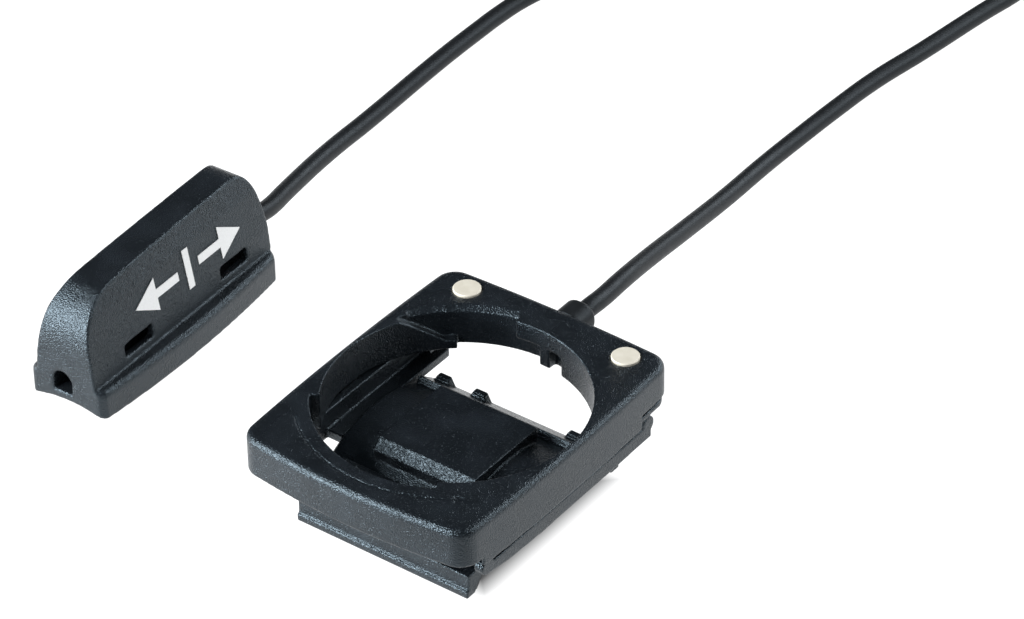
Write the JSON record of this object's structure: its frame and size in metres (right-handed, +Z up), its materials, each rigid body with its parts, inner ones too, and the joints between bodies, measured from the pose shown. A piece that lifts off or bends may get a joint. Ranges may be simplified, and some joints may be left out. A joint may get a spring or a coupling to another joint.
{
  "type": "bicycle computer mount and wheel sensor kit",
  "caption": "Wired handlebar bracket with a round bayonet cradle and two contact pins, joined by a thin black cable to a slim fork-mounted wheel-speed sensor.",
  "frame": {"origin": "centre of the cradle hole on the bracket's flat top face", "axes": "+Z up out of the cradle, the way the display head leaves; +Y from the cradle towards the contacts and the cable; +X to the right, away from the sensor"},
  "size_m": [0.082, 0.1903, 0.0178],
  "materials": {
    "shell_plastic": "fine spark-eroded grain, black",
    "sensor_plastic": "fine spark-eroded grain, black",
    "pad_rubber": "matte black rubber",
    "nickel": "matte nickel plating",
    "spring_steel": "bright wire",
    "brass": "stamped sheet",
    "cable_pvc": "matte black cable jacket",
    "wire_black": "satin wire insulation",
    "wire_red": "satin wire insulation",
    "circuit_board": "green solder mask",
    "reed_glass": "clear greenish glass",
    "resin": "cast black resin",
    "print_white": "white pad print",
    "tie_plastic": "black strap"
  },
  "bodies": {
    "root": {"bracket_shell": "shell_plastic", "base_frame": "shell_plastic", "handlebar_saddle": "shell_plastic", "saddle_pad": "pad_rubber", "contact_cover": "shell_plastic", "bracket_strain_relief": "cable_pvc", "contact_seal_left": "pad_rubber", "contact_seal_right": "pad_rubber", "contact_spring_left": "spring_steel", "contact_spring_right": "spring_steel", "contact_plate_left": "brass", "contact_plate_right": "brass", "bracket_wire_left": "wire_black", "bracket_wire_right": "wire_red", "sensor_housing": "sensor_plastic", "sensor_base": "sensor_plastic", "sensor_board": "circuit_board", "reed_glass": "reed_glass", "reed_leads": "spring_steel", "sensor_resin": "resin", "sensor_wire_a": "wire_black", "sensor_wire_b": "wire_red", "sensor_strain_relief": "cable_pvc", "magnet_mark": "print_white", "bracket_cable": "cable_pvc", "cable_coil": "cable_pvc", "sensor_cable": "cable_pvc", "cable_tie": "tie_plastic"},
    "contact_left": {"contact_pin_left": "nickel"},
    "contact_right": {"contact_pin_right": "nickel"}
  },
  "joints": [
    {"name": "contact_press_left", "type": "slide", "parent": "root", "child": "contact_left", "axis": [0, 0, -1], "range_m": [0, 0.0005], "stiffness_N_per_m": 150, "springref_m": -0.002, "deforming": ["contact_spring_left"]},
    {"name": "contact_press_right", "type": "slide", "parent": "root", "child": "contact_right", "axis": [0, 0, -1], "range_m": [0, 0.0005], "stiffness_N_per_m": 150, "springref_m": -0.002, "deforming": ["contact_spring_right"]}
  ]
}
